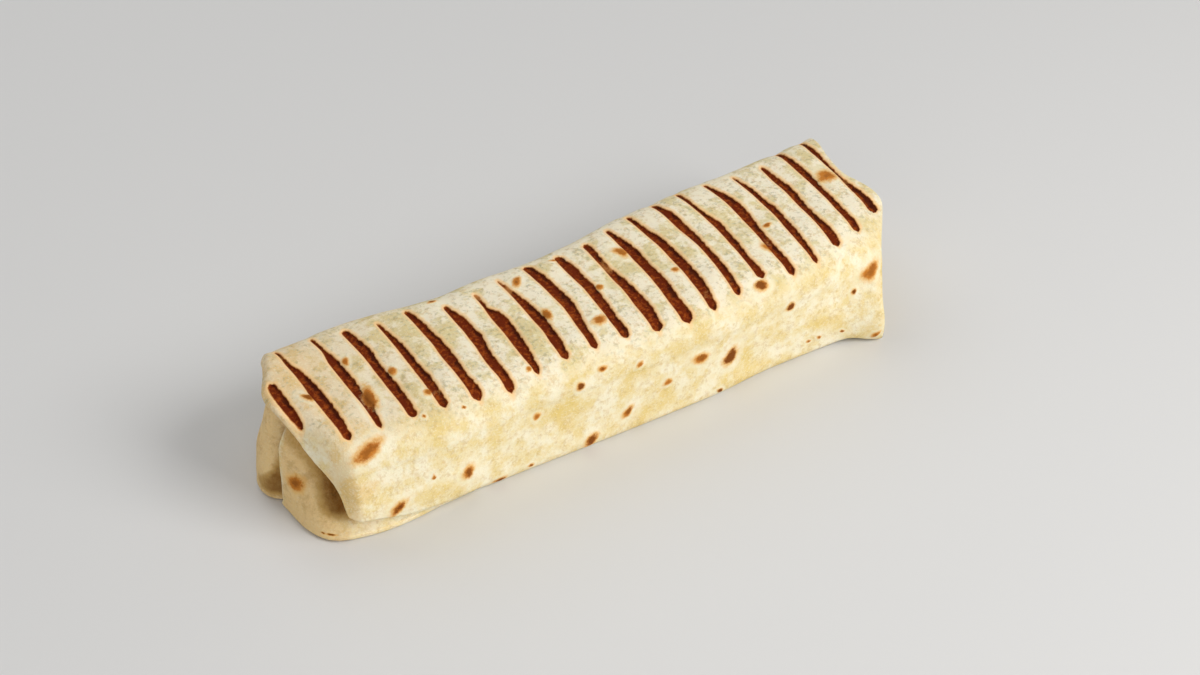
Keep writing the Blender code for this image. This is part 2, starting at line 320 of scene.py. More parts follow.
fine_angle = np.linspace(0.0, 2.0 * np.pi, FINE_STEPS)
fine_across, fine_up = boxed_circle(fine_angle)
steps = np.hypot(np.diff(fine_across * MEAN_HALF_WIDTH), np.diff(fine_up * TOP_HEIGHT / 2.0))
on_base = 0.5 * (fine_up[1:] + fine_up[:-1]) < BASE_BELOW
run = np.concatenate(([0.0], np.cumsum(steps * np.where(on_base, BASE_WEIGHT, 1.0))))
run /= run[-1]


def seam_angle(x):
    """The angle at which the front of the section has the height of the loose edge."""
    height = eased(x, SEAM_PLACES, SEAM_HEIGHTS, SEAM_SOFTEN)
    up = (height * (1.0 + FOOT_CUT) / TOP_HEIGHT - 1.0) / FOOT_CUT
    return np.pi + np.arcsin((-up) ** (LOWER_POWER / 2.0))


even = np.arange(COLUMNS) / COLUMNS
run_front = np.interp(np.pi, fine_angle, run)
run_base = np.interp(1.5 * np.pi, fine_angle, run)
run_seam = np.interp(seam_angle(SEAM_SAMPLE), fine_angle, run)
SEAM_COLUMN = int(round(run_seam * COLUMNS))


def column_angles(x):
    """Angles of all columns at station x, with the seam column on the loose edge."""
    seam = np.interp(seam_angle(x), fine_angle, run)[:, None]
    fixed = SEAM_COLUMN / COLUMNS
    above = run_front + (even - run_front) * (seam - run_front) / (fixed - run_front)
    below = seam + (even - fixed) * (run_base - seam) / (run_base - fixed)
    bent = np.where(even < fixed, above, below)
    inside = (even > run_front) & (even < run_base)
    return np.interp(np.where(inside, bent, even), run, fine_angle)


print("columns:", COLUMNS, "of which the seam follows number", SEAM_COLUMN)

# %% [markdown]
# ## The folded ends
#
# Each end is cut off along a skewed line, because the sheet was folded round a
# corner: X of the outline is given at angles round the section. The front upper
# corner is also pinched towards the middle, which makes the sloping lip of the
# pocket. From the outline the sheet rolls over with its own thickness and goes
# in to the end's inner face.

# %% Outline and inner face of each end
# Angles in degrees from the back over the top to the front, and X of the edge there
LEFT_ANGLES = (
    0, 20, 37, 50, 61, 69, 78, 90, 104, 116, 131,
    144, 165, 181, 189, 196, 202, 207, 212, 245, 300, 340,
)
LEFT_OUTLINE = (
    -102.8, -102.8, -104.4, -108.0, -111.5, -112.4, -112.6, -112.8, -111.7, -110.6, -109.1,
    -107.8, -105.9, -103.4, -102.1, -102.4, -101.8, -100.4, -99.2, -98.9, -98.9, -101.0,
)
RIGHT_ANGLES = (
    0, 20, 32, 44, 60, 76, 90, 104, 118, 128, 136, 144,
    152, 166, 184, 197, 206, 215, 228, 250, 270, 300, 323, 340,
)
RIGHT_OUTLINE = (
    113.0, 115.2, 115.8, 113.1, 111.9, 111.8, 113.4, 114.6, 115.4, 115.0, 112.3, 108.8,
    105.9, 102.7, 100.4, 100.2, 100.2, 99.8, 101.2, 105.0, 108.0, 111.0, 112.0, 113.0,
)
# How far each part of the edge keeps its distance from the middle: 1 is unpinched
TUCK_ANGLES = (70, 90, 100, 113, 130, 144, 160, 181, 202, 214)
LEFT_TUCK = (1.0, 0.97, 0.92, 0.82, 0.67, 0.59, 0.66, 0.77, 0.93, 1.0)
RIGHT_TUCK = (1.0, 0.99, 0.98, 0.96, 0.94, 0.92, 0.94, 0.97, 0.99, 1.0)
TUCK_EASE = 2.2
POCKET_WALL = -97.0
POCKET_MIDDLE = 0.5
RIGHT_TONGUE_X = 110.0
RIGHT_TONGUE_SKEW = 0.14
RIGHT_POCKET_DEPTH = 8.0
RIGHT_POCKET_SLOPE = 0.9
RIGHT_POCKET_FROM = 2.0
RIGHT_POCKET_EASE = 28.0
RIGHT_GUSSET = (113.0, 18.0)
RIGHT_GUSSET_CURVE = 0.014
RIGHT_GUSSET_LEAN = 0.10
RIGHT_LEAN_FROM = 24.0
RIGHT_CREASE = 7.5
RIGHT_CREASE_DEPTH = 2.2
CREASE_WIDTH = 2.3
GUSSET_SHARE_WIDTH = 3.0
POLE_HEIGHT = 0.42


def crease_blend(y, place):
    """How far a point has passed from tongue to gusset, and how deep in the crease it is.

    The first is a smooth step across the crease, the second a bell curve on it.
    """
    share = smooth_step((y - place) / GUSSET_SHARE_WIDTH + 0.5)
    return share, np.exp(-((y - place) / CREASE_WIDTH) ** 2)


def left_floor(y, z):
    """X of the left end's inner wall: flat, and hidden behind the folds that stand in it."""
    return np.full(np.shape(y), POCKET_WALL)


def right_floor(y, z):
    """X of the right end's inner face: a skewed tongue that sinks to the front, a bowed gusset, a crease."""
    skewed = RIGHT_TONGUE_X + RIGHT_TONGUE_SKEW * y
    forward = RIGHT_POCKET_SLOPE * z - y
    tongue = skewed - RIGHT_POCKET_DEPTH * smooth_step((forward - RIGHT_POCKET_FROM) / RIGHT_POCKET_EASE)
    out, middle = RIGHT_GUSSET
    lean = RIGHT_GUSSET_LEAN * np.maximum(z - RIGHT_LEAN_FROM, 0.0)
    gusset = out - RIGHT_GUSSET_CURVE * (y - middle) ** 2 - lean
    share, crease = crease_blend(y, RIGHT_CREASE)
    return tongue * (1.0 - share) + gusset * share - RIGHT_CREASE_DEPTH * crease


def folded_end(neck, share, angles, outline, tuck):
    """Rings from a neck out to the end's skewed outline, its front corner pinched.

    X runs evenly from the neck to the outline's X at that bearing, and the pinch
    pulls Y and Z to the middle by the share of the way out to the power TUCK_EASE.
    """
    angle = column_angles(np.full(len(share), neck))
    share = share[:, None]
    start_y, start_z = section(np.full_like(angle, neck), angle)
    middle = 0.5 * (start_y.max(axis=1) + start_y.min(axis=1))[:, None]
    bearing = np.degrees(np.arctan2(start_z - 0.5 * TOP_HEIGHT, start_y - middle))
    x = neck + (eased_round(bearing, angles, outline, END_SOFTEN) - neck) * share
    y, z = section(x, angle)
    middle = 0.5 * (y.max(axis=1) + y.min(axis=1))[:, None]
    pull = (1.0 - eased_round(bearing, TUCK_ANGLES, tuck, END_SOFTEN)) * share ** TUCK_EASE
    return x, y + (middle - y) * pull, z + (0.5 * TOP_HEIGHT - z) * pull


print("outlines reach from", min(LEFT_OUTLINE), "to", max(RIGHT_OUTLINE), "mm")

# %% The body's rings from end to end
RING_PITCH = 0.55
END_RINGS = 32
HOOD_DROOP = 1.9
DROOP_POWER = 10
DROOP_ABOVE = 30.0
DROOP_ABOVE_EASE = 8.0
DROOP_BEHIND = -3.0
DROOP_BEHIND_EASE = 10.0

body_x = np.linspace(LEFT_NECK, RIGHT_NECK, int((RIGHT_NECK - LEFT_NECK) / RING_PITCH) + 1)
body_angle = column_angles(body_x)
body_y, body_z = section(np.repeat(body_x[:, None], COLUMNS, axis=1), body_angle)
body = (np.repeat(body_x[:, None], COLUMNS, axis=1), body_y, body_z)
end_share = np.arange(1, END_RINGS + 1) / END_RINGS
left = folded_end(LEFT_NECK, end_share, LEFT_ANGLES, LEFT_OUTLINE, LEFT_TUCK)
# The hood's last rings sag, but only high up and at the back
high = smooth_step((left[2] - DROOP_ABOVE) / DROOP_ABOVE_EASE)
behind = smooth_step((left[1] - DROOP_BEHIND) / DROOP_BEHIND_EASE)
left = (left[0], left[1], left[2] - HOOD_DROOP * end_share[:, None] ** DROOP_POWER * high * behind)
right = folded_end(RIGHT_NECK, end_share, RIGHT_ANGLES, RIGHT_OUTLINE, RIGHT_TUCK)
skin = np.stack([np.concatenate((a[::-1], b, c)) for a, b, c in zip(left, body, right)], axis=2)
print("skin rings:", len(skin), "from", skin.min((0, 1)).round(1), "to", skin.max((0, 1)).round(1))


def outward(points):
    """Unit normals of the grid: the cross product of its two directions."""
    along = np.gradient(points, axis=0)
    around = np.roll(points, -1, axis=1) - np.roll(points, 1, axis=1)
    normal = np.cross(around, along)
    return normal / np.maximum(np.linalg.norm(normal, axis=2, keepdims=True), 1e-9)


def girth(points):
    """Length round each ring in mm, counted from the back over the top to the front."""
    step = np.linalg.norm(np.diff(points, axis=1), axis=2)
    return np.concatenate((np.zeros((len(points), 1)), np.cumsum(step, axis=1)), axis=1)


smooth_skin = skin.copy()
normal = outward(skin)
around_mm = girth(skin)
middle_ring = len(skin) // 2
front_column = int(run_front * COLUMNS)
# The front faces towards minus Y, so a normal there that says plus turns them all
if normal[middle_ring, front_column, 1] > 0.0:
    normal = -normal
print("girth of the middle ring:", around_mm[middle_ring, -1].round(1), "mm")

# %% [markdown]
# ## Grill marks
#
# Each rib of the grill pressed a line over the top of the wrap and burned it.
# The marks are narrow at the back, fatter towards the front, smooth on the left
# edge and scalloped on the right. An image texture could paint them, but then
# they would be flat. Here each mark is a distance in millimetres from its edge,
# worked out for every point: the same number presses the groove into the mesh
# and tells the material where the char begins.

# %% Measure every point against the marks
# Back end X and Y and front end X and Y of each mark's guide line, all in mm
MARKS = (
    (-109.0, 9.8, -107.9, -11.1), (-101.6, 24.5, -97.6, -23.5), (-88.6, 25.5, -87.6, -24.1),
    (-78.0, 23.6, -76.6, -25.2), (-66.9, 20.4, -65.5, -25.9), (-55.4, 21.5, -53.9, -27.2),
    (-44.1, 16.0, -42.8, -28.1), (-33.0, 16.6, -32.7, -26.6), (-23.2, 19.4, -22.5, -25.5),
    (-11.4, 21.8, -11.1, -25.5), (0.4, 21.0, 0.5, -25.9), (12.4, 22.6, 11.7, -27.6),
    (23.1, 25.8, 23.3, -28.2), (33.6, 28.6, 33.8, -27.1), (44.2, 29.8, 44.3, -25.3),
    (55.5, 31.4, 54.5, -22.8), (66.6, 31.4, 67.9, -24.7), (77.8, 29.8, 77.7, -23.2),
    (90.0, 29.6, 88.3, -19.5), (100.8, 36.0, 99.0, -16.3), (112.4, 36.8, 111.8, -10.3),
)
# Left edge, then right edge, at eight places along each guide line, in tenths of a mm from it
EDGES = (
    ((-16, -21, -23, -25, -24, -23, -19, -11), (11, 9, 9, 8, 6, 5, 6, 1)),
    ((8, 0, -1, -6, -17, -16, -20, -20), (16, 12, 28, 29, 25, 22, 15, 7)),
    ((7, 9, -3, -4, -6, -8, -8, -9), (18, 21, 30, 29, 29, 21, 23, 8)),
    ((2, 1, 0, -1, -5, -10, -11, -14), (28, 33, 36, 27, 26, 24, 19, 15)),
    ((4, 1, -2, -5, -9, -13, -18, -19), (14, 18, 23, 20, 17, 18, 12, 9)),
    ((-7, -9, -12, -14, -20, -24, -26, -26), (12, 19, 16, 20, 18, 10, 3, 10)),
    ((-4, -7, -8, -13, -18, -26, -29, -23), (14, 30, 29, 31, 16, 7, 5, 7)),
    ((2, -1, -7, -9, -11, -16, -18, -13), (14, 9, 34, 36, 30, 23, 16, 8)),
    ((9, 8, 6, 4, 2, 1, -8, -9), (16, 24, 32, 38, 40, 34, 29, 19)),
    ((-3, -2, 2, 2, 2, -3, -11, -14), (27, 37, 41, 43, 42, 31, 15, 12)),
    ((-5, -6, -5, -4, -9, -12, -18, -18), (26, 35, 31, 33, 28, 21, 13, 13)),
    ((-4, -7, -7, -10, -10, -14, -19, -20), (21, 15, 15, 22, 26, 30, 28, 17)),
    ((-1, -5, -5, -6, -9, -16, -24, -28), (15, 26, 33, 27, 28, 24, 15, 14)),
    ((-6, -6, -5, -3, -6, -10, -16, -20), (8, 14, 27, 30, 30, 27, 21, 10)),
    ((-4, -4, -3, 1, 2, -2, -11, -15), (14, 32, 30, 31, 24, 23, 18, 10)),
    ((-8, -5, 0, 1, 0, -6, -8, -12), (8, 8, 16, 34, 27, 21, 14, 18)),
    ((-4, -2, -4, -9, -17, -24, -35, -33), (12, 29, 37, 29, 12, 2, -4, -4)),
    ((-4, -5, -3, -3, -8, -17, -22, -21), (5, 15, 16, 24, 17, 12, 3, -1)),
    ((-12, -16, -15, -16, -16, -19, -20, -22), (4, 8, 15, 13, 6, 3, 11, 13)),
    ((-16, -18, -17, -16, -17, -19, -21, -20), (2, 9, 13, 11, 3, 5, 5, 9)),
    ((-18, -26, -26, -26, -28, -33, -35, -37), (-6, -4, -12, -17, -20, -12, -5, 3)),
)
EDGE_PLACES = (np.arange(8) + 0.5) / 8
TIP_LENGTHS = (2.4, 1.5)
SCALLOP_DEPTH = 0.28
SCALLOP_LENGTH = 4.3
NICK_LENGTH = 2.3
LEFT_SOFTEN = 0.04
RIGHT_SOFTEN = 0.03
LEAST_HALF_WIDTH = 0.4
SIDE_LIMIT = 1.5
MARKS_ABOVE = 33.0
MARKS_EASE = 2.5
FAR = -9.0


def mark_distance(x, y, number):
    """Signed distance into one mark and the side it lies on, -1 left to 1 right.

    Along the guide line, s runs from 0 at the back to 1 at the front. The two
    edges are read off the table, the tips are rounded as quarter circles, and
    the right edge gets small bites of |sin| where the dough lifted off the rib.
    """
    back_x, back_y, front_x, front_y = MARKS[number]
    length = back_y - front_y
    s = (back_y - y) / length
    inner = np.clip(s, 0.0, 1.0)
    run_down = length * inner
    left_edge = 0.1 * eased(inner, EDGE_PLACES, EDGES[number][0], LEFT_SOFTEN)
    right_edge = 0.1 * eased(inner, EDGE_PLACES, EDGES[number][1], RIGHT_SOFTEN)
    wave_turn = np.pi * run_down / SCALLOP_LENGTH + 1.7 * number + np.sin(run_down / 5.3 + number)
    wave = np.abs(np.sin(wave_turn))
    small = np.abs(np.sin(np.pi * run_down / NICK_LENGTH + 0.6 * number + np.sin(run_down / 3.1)))
    right_edge = right_edge + SCALLOP_DEPTH * (wave + 0.6 * small - 1.0)
    from_tip = np.minimum(run_down / TIP_LENGTHS[0], (length - run_down) / TIP_LENGTHS[1])
    from_tip = np.clip(from_tip, 0.0, 1.0)
    tip = np.sqrt(1.0 - (1.0 - from_tip) ** 2)
    middle = 0.5 * (left_edge + right_edge)
    width = 0.5 * (right_edge - left_edge) * tip
    aside = x - (back_x + (front_x - back_x) * inner) - middle
    depth = width - np.abs(aside)
    over = np.maximum(np.maximum(-s, s - 1.0), 0.0) * length
    depth = np.where(over > 0.0, -np.hypot(over, aside), depth)
    return depth, np.clip(aside / np.maximum(width, LEAST_HALF_WIDTH), -SIDE_LIMIT, SIDE_LIMIT)


x, y, z = np.moveaxis(skin, 2, 0)
mark = np.full(x.shape, FAR)
mark_side = np.zeros_like(x)
for number in range(len(MARKS)):
    depth, side = mark_distance(x, y, number)
    nearer = depth > mark
    mark = np.where(nearer, depth, mark)
    mark_side = np.where(nearer, side, mark_side)
# The distances know X and Y alone, so they fade away below the top
mark = np.maximum(mark + FAR * smooth_step((MARKS_ABOVE - z) / MARKS_EASE), FAR)
print("points inside a mark:", int((mark > 0.0).sum()))

# %% [markdown]
# ## Toast spots
#
# Where the dough blistered, it browned: small round or slanted spots, some
# orange and some nearly black in the middle. Each spot is an ellipse in the
# sheet itself, measured along X and round the girth, so it bends over the
# shoulder with the sheet. The value is 1 in its middle and 0 at its edge. The
# last nine spots are on the hidden back, made like those in front.

# %% Measure every point against the spots
# X, Y, Z, half length, half width, slant in degrees from X up the sheet, darkness
SPOTS = (
    (-94.2, -27.1, 34.3, 5.0, 2.5, 12, 0.45), (-61.8, -31.1, 13.8, 2.6, 2.0, 55, 0.75),
    (-87.0, -31.2, 10.3, 3.4, 1.7, 32, 0.95), (-49.2, -28.6, 2.4, 2.6, 1.0, 8, 1.0),
    (-37.7, -28.4, 3.2, 1.1, 0.8, 0, 0.6), (-35.5, -29.2, 23.7, 1.4, 1.2, -20, 0.3),
    (-14.8, -28.6, 4.2, 2.9, 2.1, 37, 0.85), (-61.0, -27.7, 36.7, 0.7, 0.6, 0, 0.4),
    (-74.0, -26.4, 38.2, 0.7, 0.6, 0, 0.4), (-74.0, -31.4, 16.7, 0.8, 0.6, 0, 0.2),
    (-11.3, -29.0, 33.2, 1.4, 1.1, 0, 0.8), (-19.4, -29.3, 29.2, 1.6, 1.5, 0, 0.9),
    (2.8, -29.8, 29.3, 1.2, 1.1, 0, 0.1), (14.5, -29.3, 18.5, 1.5, 1.3, 0, 0.45),
    (26.7, -29.0, 20.8, 3.3, 1.8, -12, 0.6), (39.6, -28.1, 16.2, 3.6, 2.6, 42, 0.9),
    (-1.1, -29.0, 10.5, 2.4, 1.7, 55, 0.6), (35.6, -28.4, 3.4, 1.4, 0.8, -30, 0.9),
    (63.8, -26.9, 26.3, 1.8, 1.6, 30, 0.95), (53.0, -24.6, 38.2, 2.3, 1.9, 0, 0.85),
    (97.2, -26.0, 27.6, 4.0, 2.2, 32, 0.4), (90.5, -26.7, 21.7, 1.2, 1.0, 40, 0.95),
    (97.7, -31.7, 3.9, 1.3, 1.2, 30, 0.5), (77.1, -26.6, 8.0, 0.9, 0.7, -20, 0.6),
    (72.7, -26.5, 7.1, 0.9, 0.7, -20, 0.6), (86.2, -27.3, 6.9, 0.8, 0.7, -20, 0.6),
    (-85.4, -12.4, 39.3, 6.0, 2.1, 80, 0.45), (-83.8, 7.5, 40.0, 1.9, 1.2, 60, 0.3),
    (-101.8, -3.1, 41.0, 2.2, 1.5, -45, 0.7), (-73.1, -4.0, 39.6, 2.2, 1.2, 80, 0.2),
    (-68.4, -18.8, 40.3, 1.5, 1.4, 0, 0.3), (-45.6, 20.8, 39.8, 1.4, 1.0, 0, 0.7),
    (-17.6, 14.4, 41.4, 3.0, 1.3, 60, 0.6), (-17.6, -5.5, 41.5, 2.8, 1.4, 80, 0.4),
    (-4.6, -16.5, 41.2, 2.6, 2.0, 20, 0.3), (4.4, -1.6, 41.0, 1.6, 1.3, 0, 0.25),
    (-35.1, -24.7, 39.3, 1.1, 1.0, 0, 0.15), (20.7, 11.1, 40.8, 2.9, 2.1, -60, 0.25),
    (30.8, -7.1, 41.2, 1.5, 1.3, 0, 0.3), (71.3, -1.5, 40.8, 1.6, 1.0, 0, 0.4),
    (64.2, -12.0, 41.0, 3.0, 2.0, -70, 0.35), (105.4, 12.2, 40.4, 4.1, 3.0, -15, 0.3),
    (0.4, 18.6, 40.8, 2.6, 0.8, -20, 0.3), (-72.0, 31.0, 21.0, 3.4, 2.1, 30, 0.7),
    (-31.0, 28.0, 12.0, 2.4, 1.8, -20, 0.8), (7.0, 29.0, 26.0, 3.0, 2.1, 50, 0.5),
    (45.0, 33.0, 9.0, 2.6, 1.6, 20, 0.85), (80.0, 36.0, 21.0, 3.4, 2.3, -35, 0.6),
    (-91.0, 29.0, 9.0, 1.6, 1.3, 0, 0.8), (26.0, 30.0, 5.0, 1.2, 1.0, 0, 0.6),
    (62.0, 35.0, 31.0, 1.5, 1.2, 0, 0.5), (-48.0, 29.0, 31.0, 1.3, 1.1, 0, 0.6),
)
SPOT_REACH = 2.6
NEAR_SHARE = 5.0
NEAR_MARGIN = 4.0


def spot_field(points, around):
    """Highest spot value at each point, 1 - r, and the darkness of that spot.

    r is the distance from the middle in the slanted ellipse's own half sizes,
    with a slow wobble that keeps the outline from being a true ellipse.
    """
    value = np.full(points.shape[:2], 1.0 - SPOT_REACH)
    dark = np.zeros(points.shape[:2])
    for number, (cx, cy, cz, long_half, short_half, slant, darkness) in enumerate(SPOTS):
        away = np.linalg.norm(points - (cx, cy, cz), axis=2)
        middle = np.unravel_index(away.argmin(), away.shape)
        along = points[..., 0] - points[middle][0]
        up = around[middle] - around
        c, s = np.cos(np.radians(slant)), np.sin(np.radians(slant))
        u = (along * c + up * s) / long_half
        v = (up * c - along * s) / short_half
        turned = np.arctan2(v, u)
        oval = 0.09 * np.sin(2.0 * turned + 2.1 * number)
        here = 1.0 - np.hypot(u, v) / (1.0 + oval + 0.06 * np.sin(3.0 * turned + 1.3 * number))
        # X and girth also meet on the far side of the wrap, so only near points count
        here = np.where(away < NEAR_SHARE * long_half + NEAR_MARGIN, here, 1.0 - SPOT_REACH)
        dark = np.where(here > value, darkness, dark)
        value = np.maximum(value, here)
    return value, dark


# Places where a rib only toasted the dough: X, Y, half length, half width, strength
BREAKS = (
    (-86.0, -12.0, 5.0, 1.7, 0.95), (-87.6, 21.0, 2.0, 2.0, 0.3), (13.0, 8.0, 4.5, 2.2, 0.6),
    (-22.0, 13.0, 2.6, 1.6, 0.8), (-31.0, 15.0, 2.4, 2.6, 0.7), (57.0, 28.0, 3.0, 1.5, 0.5),
    (34.5, -22.0, 3.4, 2.4, 0.35), (-101.0, 20.0, 3.5, 2.0, 0.6), (66.6, -8.0, 3.0, 1.5, 0.4),
    (109.8, 6.0, 6.0, 1.6, 0.35), (-65.2, -20.0, 2.5, 1.8, 0.3), (44.2, -20.0, 3.0, 2.0, 0.3),
)
char_left = np.ones_like(x)
for at_x, at_y, long_half, short_half, strength in BREAKS:
    reach = np.hypot((x - at_x) / short_half, (y - at_y) / long_half)
    char_left = char_left * (1.0 - strength * np.exp(-reach ** 2))

toast, toast_dark = spot_field(skin, around_mm)
print("points inside a toast spot:", int((toast > 0.0).sum()))

# %% [markdown]
# ## Relief
#
# The groove of each mark, the dough that swelled between the ribs, the blister
# under each spot and the faint unevenness of the dough move the points along
# their own normals. They are only tenths of a millimetre high, apart from the
# grooves, so the outline stays as it is. Below the loose edge the skin steps
# back to the layer underneath, deeper and further in towards the left end.

# %% Press, swell and step the skin
MARK_DEPTH = 1.1
GROOVE_REACH = 0.45
GROOVE_EASE = 1.1
PUFF_HEIGHT = 0.35
PUFF_GAP = 0.4
PUFF_WIDTH = 3.5
PUFF_ABOVE = 25.5
PUFF_EASE = 2.5
BLISTER_HEIGHT = 0.3
BLISTER_REACH = 0.7
BLISTER_EASE = 1.4
DOUGH_WAVE = 0.16
DOUGH_ABOVE = 1.5
DOUGH_EASE = 3.0
SEAM_END = -46.0
SEAM_FADE = 14.0
SEAM_RISE_COLUMNS = 1.5
SEAM_STEP = 1.4
SEAM_STEP_LEFT = 5.0
SEAM_STEP_FROM = -86.0
SEAM_STEP_EASE = 12.0
SEAM_SETBACK = 3.0
SEAM_SETBACK_FROM = -96.0
SEAM_SETBACK_EASE = 4.0
LAYER_OVERHANG = 0.5

on_top = smooth_step((z - PUFF_ABOVE) / PUFF_EASE)
press = MARK_DEPTH * smooth_step((mark + GROOVE_REACH) / GROOVE_EASE)
puff = PUFF_HEIGHT * smooth_step((-mark - PUFF_GAP) / PUFF_WIDTH) * on_top
blister = BLISTER_HEIGHT * smooth_step((toast + BLISTER_REACH) / BLISTER_EASE)
wave_a = np.sin(x / 4.6 + 0.35 * around_mm + 1.3 * np.sin(around_mm / 9.0))
wave_b = np.sin(around_mm / 3.4 - x / 7.7 + 1.1 * np.sin(x / 11.0))
wave_c = np.sin(x / 2.3 + around_mm / 2.9) * np.sin(x / 17.0 + around_mm / 13.0)
above_base = smooth_step((z - DOUGH_ABOVE) / DOUGH_EASE)
dough = DOUGH_WAVE * (0.5 * wave_a + 0.6 * wave_b + 0.4 * wave_c) * above_base
skin = skin + normal * (puff + blister + dough - press)[..., None]

column = np.arange(COLUMNS)[None, :]
near_left = smooth_step((SEAM_END - x) / SEAM_FADE)
below_seam = (column > SEAM_COLUMN) & (column < int(run_base * COLUMNS) - 2)
below_seam = below_seam * near_left * smooth_step((column - SEAM_COLUMN) / SEAM_RISE_COLUMNS)
step = SEAM_STEP + SEAM_STEP_LEFT * smooth_step((SEAM_STEP_FROM - x) / SEAM_STEP_EASE)
setback = SEAM_SETBACK * smooth_step((SEAM_SETBACK_FROM - x) / SEAM_SETBACK_EASE)
skin[..., 0] += setback * below_seam
skin[..., 1] += step * below_seam
down_front = (column - run_front * COLUMNS) / (SEAM_COLUMN - run_front * COLUMNS)
skin[..., 1] -= LAYER_OVERHANG * smooth_step(down_front) * (column <= SEAM_COLUMN) * near_left
skin[..., 2] = np.maximum(skin[..., 2], 0.0)
print("deepest groove in mm:", press.max().round(2))
print("deepest step along the loose edge in mm:", (step * below_seam).max().round(2))

# %% Roll the rims over and close both ends
FOLD_THICKNESS = 1.7
ROLL_INSETS = np.linspace(0.3, 4.2, 12)
ROLL_LIMIT = 0.9
ROLL_DROP = 2.4
ROLL_PROUD = 0.6
ROLL_WIDTH = 1.25 * FOLD_THICKNESS
INNER_RINGS = 24


def close_end(rim, floor, crease_y, side):
    """Rings over the rim's fold and across the inner face, and the point in its middle.

    Near the rim the sheet stands proud by a half sine a little wider than its
    thickness, then it drops to the inner face. The last rings close in evenly.
    """
    middle = np.array([crease_y, POLE_HEIGHT * TOP_HEIGHT])
    inward = middle[None, :] - rim[:, 1:]
    reach = np.linalg.norm(inward, axis=1)[:, None]
    inset = ROLL_INSETS[:, None, None]
    flat = rim[None, :, 1:] + inward[None] * np.minimum(inset / reach[None], ROLL_LIMIT)
    share = smooth_step((inset[..., 0] - FOLD_THICKNESS) / ROLL_DROP)
    proud = ROLL_PROUD * np.sin(np.pi * np.clip(inset[..., 0] / ROLL_WIDTH, 0.0, 1.0))
    x_roll = rim[None, :, 0] * (1.0 - share) + floor(flat[..., 0], flat[..., 1]) * share + side * proud
    roll = np.concatenate((x_roll[..., None], flat), axis=2)
    inner = (np.arange(1, INNER_RINGS) / INNER_RINGS)[:, None, None]
    inner_flat = flat[-1][None] * (1.0 - inner) + middle[None, None, :] * inner
    inner_x = floor(inner_flat[..., 0], inner_flat[..., 1])
    rings = np.concatenate((roll, np.concatenate((inner_x[..., None], inner_flat), axis=2)))
    return rings, np.array([floor(*middle), *middle])


left_rings, left_pole = close_end(skin[0], left_floor, POCKET_MIDDLE, -1.0)
right_rings, right_pole = close_end(skin[-1], right_floor, RIGHT_CREASE, 1.0)
rings = np.concatenate((left_rings[::-1], skin, right_rings))
rings[..., 2] = np.maximum(rings[..., 2], 0.0)
print("rings with both ends:", len(rings))

# %% [markdown]
# ## From numbers to a mesh
#
# The grid is written into a mesh in one go. Quads join neighbouring rings, and
# a fan of triangles closes each end at its middle point. Numbers that the
# material needs travel with the points as attributes.


# %% Mesh from the grid
def wrap_faces(rows, columns):
    """Quads between rings as an array, then the two fans as a second array."""
    row = np.arange(rows - 1)[:, None] * columns
    here = np.arange(columns)[None, :]
    there = (here + 1) % columns
    quads = np.stack((row + here, row + there, row + columns + there, row + columns + here), axis=2)
    first = rows * columns
    start = np.stack((np.full(columns, first), there[0], here[0]), axis=1)
    last_row = (rows - 1) * columns
    end = np.stack((np.full(columns, first + 1), last_row + here[0], last_row + there[0]), axis=1)
    return quads.reshape(-1, 4), np.concatenate((start, end))


def grid_mesh(name, rings, poles, layers):
    """A closed mesh from rings and two poles, in metres, with its attributes."""
    points = np.concatenate((rings.reshape(-1, 3), poles))
    points[:, :2] -= BOX_MIDDLE
    quads, fans = wrap_faces(*rings.shape[:2])
    mesh = bpy.data.meshes.new(name)
    mesh.from_pydata((points * 0.001).tolist(), [], quads.tolist() + fans.tolist())
    mesh.update()
    mesh.shade_smooth()
    for key, values in layers.items():
        layer = mesh.attributes.new(key, "FLOAT", "POINT")
        layer.data.foreach_set("value", values.astype(np.float32))
    print(name, "has", 2 * len(quads) + len(fans), "triangles")
    return mesh


TURN_FROM = 3.0
TURN_ROWS = 7.0
TOP_ABOVE = 0.8 * TOP_HEIGHT
TOP_EASE = 8.0


def with_ends(values, left_value, right_value):
    """A number for every point: the skin's own, which changes over the roll to each inner face's."""
    turned = smooth_step((np.arange(len(left_rings)) - TURN_FROM) / TURN_ROWS)[:, None]
    first = (values[0] * (1.0 - turned) + left_value * turned)[::-1]
    last = values[-1] * (1.0 - turned) + right_value * turned
    both = np.concatenate((first, values, last)).ravel()
    return np.concatenate((both, [left_value, right_value]))


top_share = smooth_step((smooth_skin[..., 2] - TOP_ABOVE) / TOP_EASE)
layers = {
    "mark": with_ends(mark, FAR, FAR),
    "mark_side": with_ends(mark_side, 0.0, 0.0),
    "toast": with_ends(toast, 1.0 - SPOT_REACH, 1.0 - SPOT_REACH),
    "toast_dark": with_ends(toast_dark, 0.0, 0.0),
    "top_share": with_ends(top_share, 0.0, 0.0),
    "char_left": with_ends(char_left, 1.0, 1.0),
    # A darker tan that stands for painted shade on the ends' inner faces: full on the left, a little on the
    # right
    "inner": with_ends(np.zeros_like(mark), 1.0, 0.2),
    # Brown painted shade, full over the left end's inner wall deep in the pocket
    "shade_and_stain": with_ends(np.zeros_like(mark), 1.0, 0.0),
}
skin_mesh = grid_mesh("wrap_skin", rings, np.stack((left_pole, right_pole)), layers)
skin_piece = bpy.data.objects.new("wrap_skin", skin_mesh)
bpy.context.collection.objects.link(skin_piece)

